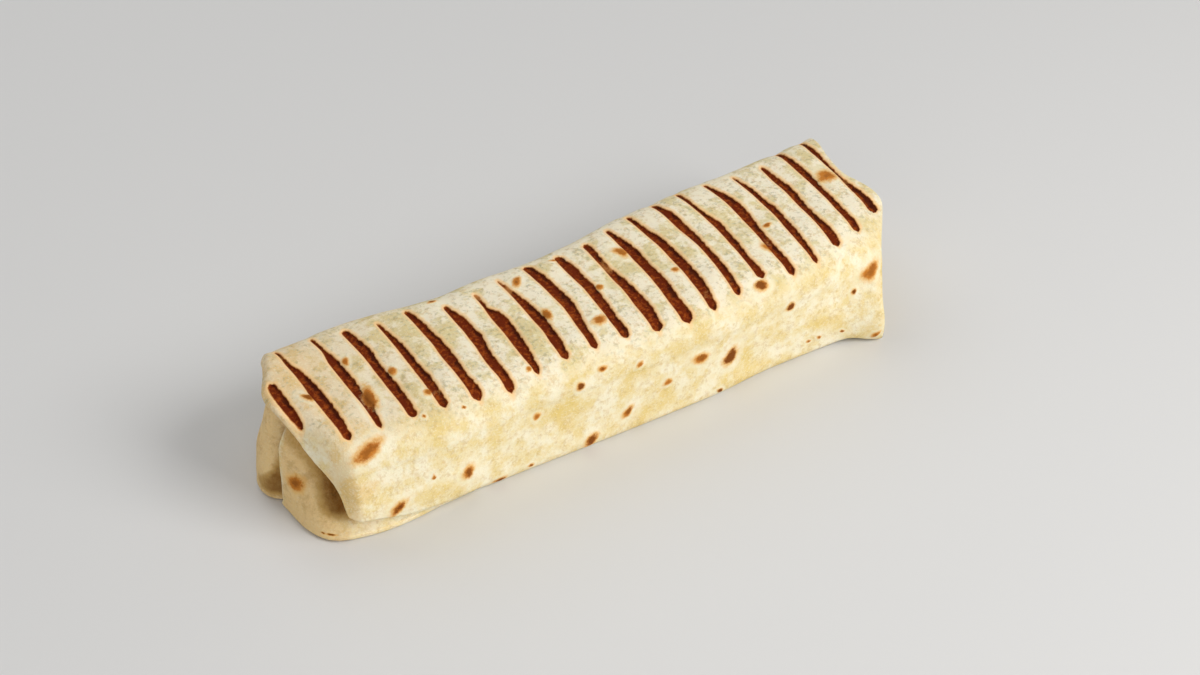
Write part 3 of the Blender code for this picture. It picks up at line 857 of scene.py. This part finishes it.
# %% [markdown]
# ## The folds inside the left end
#
# Two more folds of the same sheet stand in the open end. The tongue comes up
# from below, bends round the front corner and disappears under the hood, and its
# free edge overlaps the gusset, a rounded fold at the back. They could be cut
# into the end's inner face as relief, but then the free edge would have no
# thickness and no shadow. So each is a thin sheet of its own: a line drawn in
# plan, a height at each point of it, and a lean inwards that grows with height.

# %% Sheets that stand on a line in plan
SHEET_THICKNESS = 1.3
EDGE_RADIUS = 0.65
LEAST_SHARE = 0.004
SHEET_PITCH = 0.4
SHEET_BASE = 0.05
# Inset and height of the rows that turn the bottom edge under
TUCKED_EDGE = np.array(((6.0, 0.15), (3.0, 0.15), (1.5, 0.17), (0.8, 0.3), (0.3, 0.6), (0.06, 0.95)))
EDGE_TOP = 1.3


def plan_line(knots, soften):
    """Points every SHEET_PITCH mm along straight runs between knots, averaged to round the corners.

    Also gives how far along the line each point is.
    """
    knots = np.array(knots, float)
    lengths = np.linalg.norm(np.diff(knots, axis=0), axis=1)
    run = np.concatenate(([0.0], np.cumsum(lengths)))
    reached = np.linspace(0.0, run[-1], int(run[-1] / SHEET_PITCH) + 1)
    return reached, np.stack([eased(reached, run, knots[:, axis], soften) for axis in (0, 1)], axis=1)


def standing_sheet(line, top, lean, levels):
    """Outer face of the sheet: tucked under at the base, then up to its top.

    Each point is the line's point moved inwards, square to the line, by the
    tucked edge's inset and by the lean at its height.
    """
    along = np.gradient(line, axis=0)
    along /= np.linalg.norm(along, axis=1, keepdims=True)
    out = np.stack((along[:, 1], -along[:, 0]), axis=1)
    climb = EDGE_TOP + (top[:, None] - EDGE_TOP) * np.linspace(0.0, 1.0, levels)[None, :]
    height = np.concatenate((np.repeat(TUCKED_EDGE[None, :, 1], len(line), axis=0), climb), axis=1)
    inset = np.concatenate((np.repeat(TUCKED_EDGE[None, :, 0], len(line), axis=0), 0.0 * climb), axis=1)
    inset = inset + lean(height)
    flat = line[:, None, :] - out[:, None, :] * inset[..., None]
    return np.concatenate((flat, height[..., None]), axis=2)


def face_normals(points):
    """Unit normals of an open grid."""
    normals = np.cross(np.gradient(points, axis=0), np.gradient(points, axis=1))
    return normals / np.maximum(np.linalg.norm(normals, axis=2, keepdims=True), 1e-9)


# %% Close a sheet with its own thickness
def sheet_piece(name, outer, reached, free_start, layers):
    """A closed sheet: the outer face, the inner face one thickness in, and strips round the border.

    At a free edge the thickness shrinks as a half circle, so the edge is round.
    """
    normals = face_normals(outer)
    from_edge = np.clip(reached / EDGE_RADIUS, 0.0, 1.0) if free_start else np.ones_like(reached)
    full = SHEET_THICKNESS * np.sqrt(np.clip(1.0 - (1.0 - from_edge) ** 2, LEAST_SHARE, 1.0))[:, None, None]
    outer = outer - normals * (SHEET_THICKNESS - full) / 2.0
    inner = outer - normals * full
    rows, columns = outer.shape[:2]
    points = np.concatenate((outer.reshape(-1, 3), inner.reshape(-1, 3)))
    points[:, 2] = np.maximum(points[:, 2], SHEET_BASE)
    points[:, :2] -= BOX_MIDDLE
    index = np.arange(rows * columns).reshape(rows, columns)
    far = index + rows * columns
    front = np.stack((index[:-1, :-1], index[1:, :-1], index[1:, 1:], index[:-1, 1:]), axis=2).reshape(-1, 4)
    back = np.stack((far[:-1, :-1], far[:-1, 1:], far[1:, 1:], far[1:, :-1]), axis=2).reshape(-1, 4)
    rim = np.concatenate((index[:, 0], index[-1, 1:], index[-2::-1, -1], index[0, -2:0:-1]))
    following = np.roll(rim, -1)
    strip = np.stack((following, rim, rim + rows * columns, following + rows * columns), axis=1)
    mesh = bpy.data.meshes.new(name)
    mesh.from_pydata((points * 0.001).tolist(), [], np.concatenate((front, back, strip)).tolist())
    mesh.update()
    mesh.shade_smooth()
    for key, values in layers.items():
        layer = mesh.attributes.new(key, "FLOAT", "POINT")
        layer.data.foreach_set("value", np.tile(values.ravel(), 2).astype(np.float32))
    piece = bpy.data.objects.new(name, mesh)
    bpy.context.collection.objects.link(piece)
    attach(piece, "root")
    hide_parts("tortilla_wrap")
    print(name, "has", 2 * (len(front) + len(back) + len(strip)), "triangles")
    return piece


def dough_waves(points, height):
    """Uneven dough: a product of two sines and one bent sine, moved along the normals."""
    px, py, pz = np.moveaxis(points, 2, 0)
    swells = np.sin(pz / 3.1 + py / 5.3) * np.sin(px / 4.1 + py / 3.7)
    ripples = 0.6 * np.sin(pz / 1.9 + 1.2 * np.sin(py / 2.6))
    return points + face_normals(points) * (height * (swells + ripples))[..., None]


# %% Shape of the tongue
TONGUE_LINE = (
    (-113.2, -0.8), (-112.9, -6.5), (-112.1, -14.5), (-110.2, -21.2), (-107.6, -24.8), (-104.0, -26.8),
    (-99.3, -28.1), (-94.0, -28.9), (-89.0, -29.3), (-84.0, -29.4), (-77.0, -29.0), (-69.0, -27.6),
)
TONGUE_SOFTEN = 2.6
TONGUE_WIDTH = 22.0
TONGUE_TOP = 36.5
TOE_TOP = 11.5
CORNER_X = -108.0
CORNER_EASE = 8.0
TONGUE_DISH = 11.5
TOE_DISH = 7.0
DISH_ABOVE = 2.0
DISH_REACH = 34.0
DISH_REACH_LOSS = 17.0
TIP_BEND = 4.5
TIP_BEND_ABOVE = 23.0
TIP_BEND_EASE = 13.0
HEM_PROUD = 0.4
HEM_HEIGHT = 2.3
TONGUE_WAVE = 0.12
TONGUE_LEVELS = 84

tongue_run, tongue_line = plan_line(TONGUE_LINE, TONGUE_SOFTEN)
across_tongue = np.clip((TONGUE_LINE[0][1] - tongue_line[:, 1]) / TONGUE_WIDTH, 0.0, 1.0)[:, None]
past_corner = smooth_step((tongue_line[:, 0] - CORNER_X) / CORNER_EASE)[:, None]
tongue_top = TONGUE_TOP * (1.0 - past_corner[:, 0]) + TOE_TOP * past_corner[:, 0]


def tongue_lean(height):
    """Dished inwards: the dish is nothing at the free edge and deepest near the front corner.

    It deepens as a smooth step of the height. On top of it the tip bends in near
    the free edge, and the doubled hem along the bottom stands proud.
    """
    dish = TONGUE_DISH * smooth_step(1.5 * across_tongue) * (1.0 - past_corner) + TOE_DISH * past_corner
    reach = DISH_REACH - DISH_REACH_LOSS * across_tongue
    bend = TIP_BEND * smooth_step((height - TIP_BEND_ABOVE) / TIP_BEND_EASE) * (1.0 - across_tongue)
    hem = HEM_PROUD * smooth_step((HEM_HEIGHT - height) / 0.35) * smooth_step((height - 0.2) / 0.4)
    return dish * smooth_step((height - DISH_ABOVE) / reach) + bend - hem


tongue = standing_sheet(tongue_line, tongue_top, tongue_lean, TONGUE_LEVELS)
tongue = dough_waves(tongue, TONGUE_WAVE)
print("tongue from", tongue.min((0, 1)).round(1), "to", tongue.max((0, 1)).round(1))

# %% [markdown]
# ## Painted shade and stains on the folds
#
# The folds never touched the grill, so they have no marks. Their tan stands for
# painted shade, and it is left pale along the tongue's free edge as a painted
# highlight. A brown painted shade lies under the hood's lip and in the gusset's
# crease, where it is partly a juice stain. A texture painted by hand would need
# its own UV map. Here each brown is a smooth step of a distance in the fold
# itself: on the tongue the distance to the hood's lip, on the gusset the distance
# to the tongue's free edge.

# %% Toast spots and painted shade on the tongue
# Y, Z, half width, half height and darkness of each toast spot
TONGUE_SPOTS = (
    (-7.8, 13.2, 2.7, 2.9, 0.5), (-24.4, 2.9, 1.0, 0.5, 0.9), (-22.4, 2.9, 0.7, 0.4, 0.8),
)
# Y and Z of a point on the hood's lip, seen along X, and the direction square to the lip
LIP_POINT = (-22.5, 9.5)
LIP_SQUARE = (0.777, -0.629)
# Reach and fade of the brown painted shade under the hood's lip on the tongue, and how it weakens higher up
LIP_SHADE_REACH = 6.4
LIP_SHADE_EASE = 5.6
LIP_SHADE_ABOVE = 5.5
LIP_SHADE_ABOVE_EASE = 4.5
LIP_SHADE_HIGH = 17.0
LIP_SHADE_HIGH_EASE = 8.0
LIP_SHADE_HIGH_LOSS = 0.45
# Width and fade of the painted highlight along the tongue's free edge, where the painted shade is taken away
HIGHLIGHT_EDGE_WIDTH = 2.8
HIGHLIGHT_EDGE_EASE = 2.0
# The painted shade on the tongue fades out towards the toe
TOE_PALE_FROM = -109.0
TOE_PALE_EASE = 10.0
TOE_PALE_SHARE = 0.85

tongue_y, tongue_z = tongue[..., 1], tongue[..., 2]
tongue_toast = np.full(tongue_y.shape, 1.0 - SPOT_REACH)
tongue_dark = np.zeros(tongue_y.shape)
for spot_y, spot_z, half_y, half_z, darkness in TONGUE_SPOTS:
    r = np.hypot((tongue_y - spot_y) / half_y, (tongue_z - spot_z) / half_z)
    here = 1.0 - r / (1.0 + 0.1 * np.sin(2.0 * np.arctan2(tongue_z - spot_z, tongue_y - spot_y) + 0.8))
    tongue_dark = np.where(here > tongue_toast, darkness, tongue_dark)
    tongue_toast = np.maximum(tongue_toast, here)
# Painted shade: the tongue turns brown towards the hood's lip, where the hood shades it
from_lip = LIP_SQUARE[0] * (tongue_y - LIP_POINT[0]) + LIP_SQUARE[1] * (tongue_z - LIP_POINT[1])
high_loss = 1.0 - LIP_SHADE_HIGH_LOSS * smooth_step((tongue_z - LIP_SHADE_HIGH) / LIP_SHADE_HIGH_EASE)
tongue_lip_shade = smooth_step((LIP_SHADE_REACH - from_lip) / LIP_SHADE_EASE) * high_loss
# Painted highlight: the tongue's free edge is left pale cream
free_edge_highlight = smooth_step((HIGHLIGHT_EDGE_WIDTH - tongue_run) / HIGHLIGHT_EDGE_EASE)
toe_pale = TOE_PALE_SHARE * smooth_step((tongue_line[:, 0] - TOE_PALE_FROM) / TOE_PALE_EASE)
# Painted shade over the tongue, lifted at the free edge and towards the toe
tongue_fold_shade = ((1.0 - free_edge_highlight) * (1.0 - toe_pale))[:, None]
tongue_layers = {
    "mark": np.full(tongue_y.shape, FAR),
    "toast": tongue_toast,
    "toast_dark": tongue_dark,
    "inner": np.broadcast_to(tongue_fold_shade, tongue_y.shape),
    "shade_and_stain": tongue_lip_shade * smooth_step((tongue_z - LIP_SHADE_ABOVE) / LIP_SHADE_ABOVE_EASE),
}
tongue_piece = sheet_piece("tongue_fold", tongue, tongue_run, True, tongue_layers)

# %% Gusset
GUSSET_LINE = (
    (-96.0, 27.0), (-102.0, 26.3), (-108.0, 22.5), (-113.0, 17.5), (-115.9, 13.0), (-116.8, 9.2),
    (-116.7, 5.9), (-115.4, 2.6), (-112.6, 0.3), (-110.0, -2.2), (-108.0, -5.0), (-106.4, -8.5),
)
GUSSET_SOFTEN = 1.8
GUSSET_TOP = 38.0
GUSSET_LEAN = 8.5
GUSSET_LEAN_ABOVE = 6.0
GUSSET_LEAN_EASE = 46.0
GUSSET_INSET = 0.5
GUSSET_HEM_PROUD = 0.3
GUSSET_HEM_HEIGHT = 1.8
GUSSET_WAVE = 0.15
GUSSET_LEVELS = 70
BAND_WIDTH = 3.5
BAND_WIDER = 9.0
BAND_LOW = 13.0
BAND_EASE = 8.0
# The painted shade on the gusset fades towards its back
BACK_PALE_FROM = 12.0
BACK_PALE_EASE = 9.0
BACK_PALE_SHARE = 0.7

gusset_run, gusset_line = plan_line(GUSSET_LINE, GUSSET_SOFTEN)


def gusset_lean(height):
    """Nearly upright below, leaning in by about 6.5 mm at the top as a smooth step, its hem proud."""
    lean = GUSSET_LEAN * smooth_step((height - GUSSET_LEAN_ABOVE) / GUSSET_LEAN_EASE)
    hem = GUSSET_HEM_PROUD * smooth_step((GUSSET_HEM_HEIGHT - height) / 0.35)
    return lean + GUSSET_INSET - hem


gusset = standing_sheet(gusset_line, np.full(len(gusset_line), GUSSET_TOP), gusset_lean, GUSSET_LEVELS)
gusset = dough_waves(gusset, GUSSET_WAVE)
gusset_y, gusset_z = gusset[..., 1], gusset[..., 2]
# Brown along the crease beside the tongue's free edge, wider low down: painted shade in the crease, partly a
# stain
band = BAND_WIDTH + BAND_WIDER * smooth_step((BAND_LOW - gusset_z) / BAND_EASE)
gusset_crease_shade_and_stain = smooth_step((band + 0.5 - gusset_y) / (0.8 * band)) * smooth_step((gusset_z - 0.5) / 3.5)
gusset_layers = {
    "mark": np.full(gusset_y.shape, FAR),
    "toast": np.full(gusset_y.shape, 1.0 - SPOT_REACH),
    "toast_dark": np.zeros(gusset_y.shape),
    "inner": 1.0 - BACK_PALE_SHARE * smooth_step((gusset_y - BACK_PALE_FROM) / BACK_PALE_EASE),
    "shade_and_stain": gusset_crease_shade_and_stain * (0.4 + 0.5 * smooth_step((18.0 - gusset_z) / 8.0)),
}
gusset_piece = sheet_piece("gusset_fold", gusset, gusset_run, False, gusset_layers)

# %% [markdown]
# ## The toasted tortilla
#
# The sheet is a creamy white with soft yellow patches on its sides, and a duller
# olive and grey-green mottling where the filling shows through on top. The folds
# inside the end are a speckled tan that stands for painted shade. They have a brown
# painted shade under the hood's lip, which is partly a stain on the gusset. A picture
# of a tortilla could be laid over all of it, but it would stretch at the folds and
# blur close up. So the material is a pile of colours, each laid on the one below
# it as strongly as a noise or a stored distance says.

# %% Tortilla colours
CREAM = linear(238, 217, 158)
FLOUR = linear(249, 240, 212)
YELLOW = linear(231, 202, 118)
TAN_SPECK = linear(210, 178, 114)
TOP_WHITE = linear(246, 237, 214)
TOP_OLIVE = linear(224, 209, 160)
TOP_TAN = linear(212, 178, 128)
LIP_TAN = linear(236, 198, 134)
GREY_GREEN = linear(150, 142, 104)
PEACH = linear(251, 210, 152)
TOAST_TAN = linear(234, 184, 104)
TOAST_ORANGE = linear(198, 118, 28)
TOAST_BROWN = linear(112, 54, 8)
CHAR_RUST = linear(148, 68, 18)
CHAR_BROWN = linear(106, 36, 4)
CHAR_BLACK = linear(56, 12, 0)
# Tan and speck of the painted shade on the folds
FOLD_SHADE_TAN = linear(237, 205, 148)
FOLD_SHADE_SPECK = linear(198, 160, 104)
# Olive and brown of the painted shade under the hood's lip and in the pocket, partly a stain on the gusset
SHADE_STAIN_OLIVE = linear(182, 142, 72)
SHADE_STAIN_BROWN = linear(120, 72, 12)

# %% Noises and sums for the layers
# Cycles per metre, detail and roughness of each noise
CLOUDS = (62.0, 5.0, 0.6)
PATCHES = (150.0, 9.0, 0.68)
SPECKS = (430.0, 7.0, 0.75)
CRUMBS = (700.0, 5.0, 0.65)
PORES = (1400.0, 3.0, 0.6)

tortilla, tree, shader, place = new_material("toasted_tortilla")
broad, patchy, speck, fine, grain = (
    noise(tree, place, *values) for values in (CLOUDS, PATCHES, SPECKS, CRUMBS, PORES)
)


def times(first, second):
    """The product of two values."""
    return math_node(tree, "MULTIPLY", first, second)


def plus(first, second):
    """The sum of two values."""
    return math_node(tree, "ADD", first, second)


def about_zero(value, size):
    """A noise moved to lie about zero and scaled."""
    return times(math_node(tree, "SUBTRACT", value, 0.5), size)


def rest_of(share):
    """What a share leaves of one."""
    return math_node(tree, "SUBTRACT", 1.0, share)


print("patches in mm:", round(1000.0 / PATCHES[0], 1), "pores in mm:", round(1000.0 / PORES[0], 2))

# %% Dough of the sides, the top and the lip
top_value = layer_value(tree, "top_share")
yellow_value = plus(broad, about_zero(patchy, 0.22))
base = cover(tree, rise(tree, patchy, 0.38, 0.6), CREAM, FLOUR)
base = cover(tree, times(rise(tree, yellow_value, 0.47, 0.68), 0.8), base, YELLOW)
top_base = cover(tree, rise(tree, plus(patchy, about_zero(broad, 0.7)), 0.46, 0.6), TOP_WHITE, TOP_OLIVE)
axes = add_node(tree, "ShaderNodeSeparateXYZ", {"Vector": place})
to_left = math_node(tree, "SUBTRACT", 0.0, axes.outputs[0])
top_base = cover(tree, times(rise(tree, to_left, 0.045, 0.1), 0.4), top_base, TOP_TAN)
base = cover(tree, times(top_value, 0.9), base, top_base)
lip_tan = times(rise(tree, to_left, 0.084, 0.102), rise(tree, yellow_value, 0.4, 0.58))
base = cover(tree, times(lip_tan, 0.55), base, LIP_TAN)
mottle = times(rise(tree, fine, 0.5, 0.61), rise(tree, plus(patchy, about_zero(speck, 0.7)), 0.42, 0.54))
base = cover(tree, times(times(mottle, top_value), 0.55), base, GREY_GREEN)

# %% Dough of the folds: its painted shade tan, its flour, and brown painted shade that is partly a stain
# A darker speckled tan over the folds inside the ends: painted shade
fold_shade_value = layer_value(tree, "inner")
base = cover(tree, times(fold_shade_value, 0.9), base, FOLD_SHADE_TAN)
outer_share = rest_of(fold_shade_value)
fold_shade_mottle = rise(tree, plus(patchy, about_zero(speck, 0.5)), 0.44, 0.66)
base = cover(tree, times(times(fold_shade_mottle, fold_shade_value), 0.6), base, FOLD_SHADE_SPECK)
speck_share = plus(times(outer_share, 0.27), 0.15)
base = cover(tree, times(rise(tree, speck, 0.5, 0.62), speck_share), base, TAN_SPECK)
base = cover(tree, times(rise(tree, grain, 0.52, 0.66), speck_share), base, FLOUR)
# Brown painted shade under the hood's lip, in the pocket and in the gusset's crease, partly a stain there
shade_stain_value = plus(layer_value(tree, "shade_and_stain"), about_zero(speck, 0.6))
base = cover(tree, times(rise(tree, shade_stain_value, 0.05, 0.6), 0.8), base, SHADE_STAIN_OLIVE)
base = cover(tree, times(rise(tree, shade_stain_value, 0.5, 1.15), 0.95), base, SHADE_STAIN_BROWN)
print("material nodes so far:", len(tree.nodes))

# %% [markdown]
# ## Toast and char
#
# A toast spot browned from its middle: pale flour round it, then tan, orange and
# brown. The char of a mark is rust brown and grainy inside and nearly black
# along its right edge, with a thin peach rim where the dough only just coloured.
# The borders are the distances stored on the points plus a little noise, so they
# stay crisp and ragged at any size, and lie exactly along the pressed grooves.

# %% Toast spots
toast_value = plus(layer_value(tree, "toast"), plus(about_zero(speck, 1.1), about_zero(fine, 0.6)))
base = cover(tree, times(times(rise(tree, toast_value, -1.5, -0.8), 0.45), outer_share), base, FLOUR)
base = cover(tree, times(rise(tree, toast_value, -0.55, 0.1), 0.8), base, TOAST_TAN)
toast_dark = layer_value(tree, "toast_dark")
dark_value = plus(plus(toast_value, about_zero(patchy, 2.6)), times(toast_dark, 0.5))
on_toast = rise(tree, toast_value, -0.1, 0.4)
base = cover(tree, times(on_toast, 0.9), base, TOAST_ORANGE)
dark = times(rise(tree, dark_value, 0.35, 1.0), times(plus(times(toast_dark, 0.75), 0.2), on_toast))
base = cover(tree, dark, base, TOAST_BROWN)

# %% Char of the grill marks
ragged = plus(about_zero(fine, 0.5), about_zero(speck, 0.25))
mark_value = plus(layer_value(tree, "mark"), ragged)
untoasted = rest_of(rise(tree, toast_value, -0.6, 0.0))
base = cover(tree, times(times(rise(tree, mark_value, -1.6, -0.45), 0.8), untoasted), base, PEACH)
base = cover(tree, times(times(rise(tree, mark_value, -0.35, 0.0), 0.8), untoasted), base, TOAST_ORANGE)
base = cover(tree, times(rise(tree, mark_value, -0.1, 0.3), 0.45), base, TOAST_BROWN)
char = cover(tree, rise(tree, plus(fine, about_zero(patchy, 0.8)), 0.46, 0.62), CHAR_BROWN, CHAR_RUST)
side_value = plus(layer_value(tree, "mark_side"), about_zero(patchy, 6.0))
burned = times(rise(tree, side_value, 0.25, 1.1), 0.85)
char = cover(tree, burned, char, CHAR_BLACK)
char_share = plus(layer_value(tree, "char_left"), about_zero(speck, 1.6))
charred = times(rise(tree, mark_value, -0.12, 0.16), rise(tree, char_share, 0.35, 0.8))
base = cover(tree, charred, base, char)
tree.links.new(base, shader.inputs["Base Color"])
print("material nodes with toast and char:", len(tree.nodes))

# %% [markdown]
# ## Shine and pores
#
# Baked dough is dull, and char is duller still. Light goes a little way into
# the dough and comes out warmer, which keeps its shade from looking grey, and
# char lets none in. The pores are too fine for the mesh, so a bump makes them.

# %% Finish of the dough and the char
DOUGH_SPECULAR = 0.09
DOUGH_ROUGHNESS = 0.62
CHAR_ROUGHER = 0.2
DOUGH_GLOW = 0.1
GLOW_RADIUS = (1.0, 0.6, 0.3)
GLOW_DEPTH = 0.002
PORE_STRENGTH = 0.6
PORE_DEPTH = 0.0008

uncharred = rest_of(charred)
shader.inputs["Specular IOR Level"].default_value = DOUGH_SPECULAR
tree.links.new(plus(times(charred, CHAR_ROUGHER), DOUGH_ROUGHNESS), shader.inputs["Roughness"])
tree.links.new(times(uncharred, DOUGH_GLOW), shader.inputs["Subsurface Weight"])
shader.inputs["Subsurface Radius"].default_value = GLOW_RADIUS
shader.inputs["Subsurface Scale"].default_value = GLOW_DEPTH
height = plus(plus(times(speck, 0.5), times(fine, 0.4)), times(grain, 0.25))
pore_values = {"Strength": PORE_STRENGTH, "Distance": PORE_DEPTH, "Height": height}
pores = add_node(tree, "ShaderNodeBump", pore_values)
tree.links.new(pores.outputs[0], shader.inputs["Normal"])
for piece in (skin_piece, tongue_piece, gusset_piece):
    piece.data.materials.append(tortilla)

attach(skin_piece, "root")
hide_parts("tortilla_wrap")
print("material nodes:", len(tree.nodes))
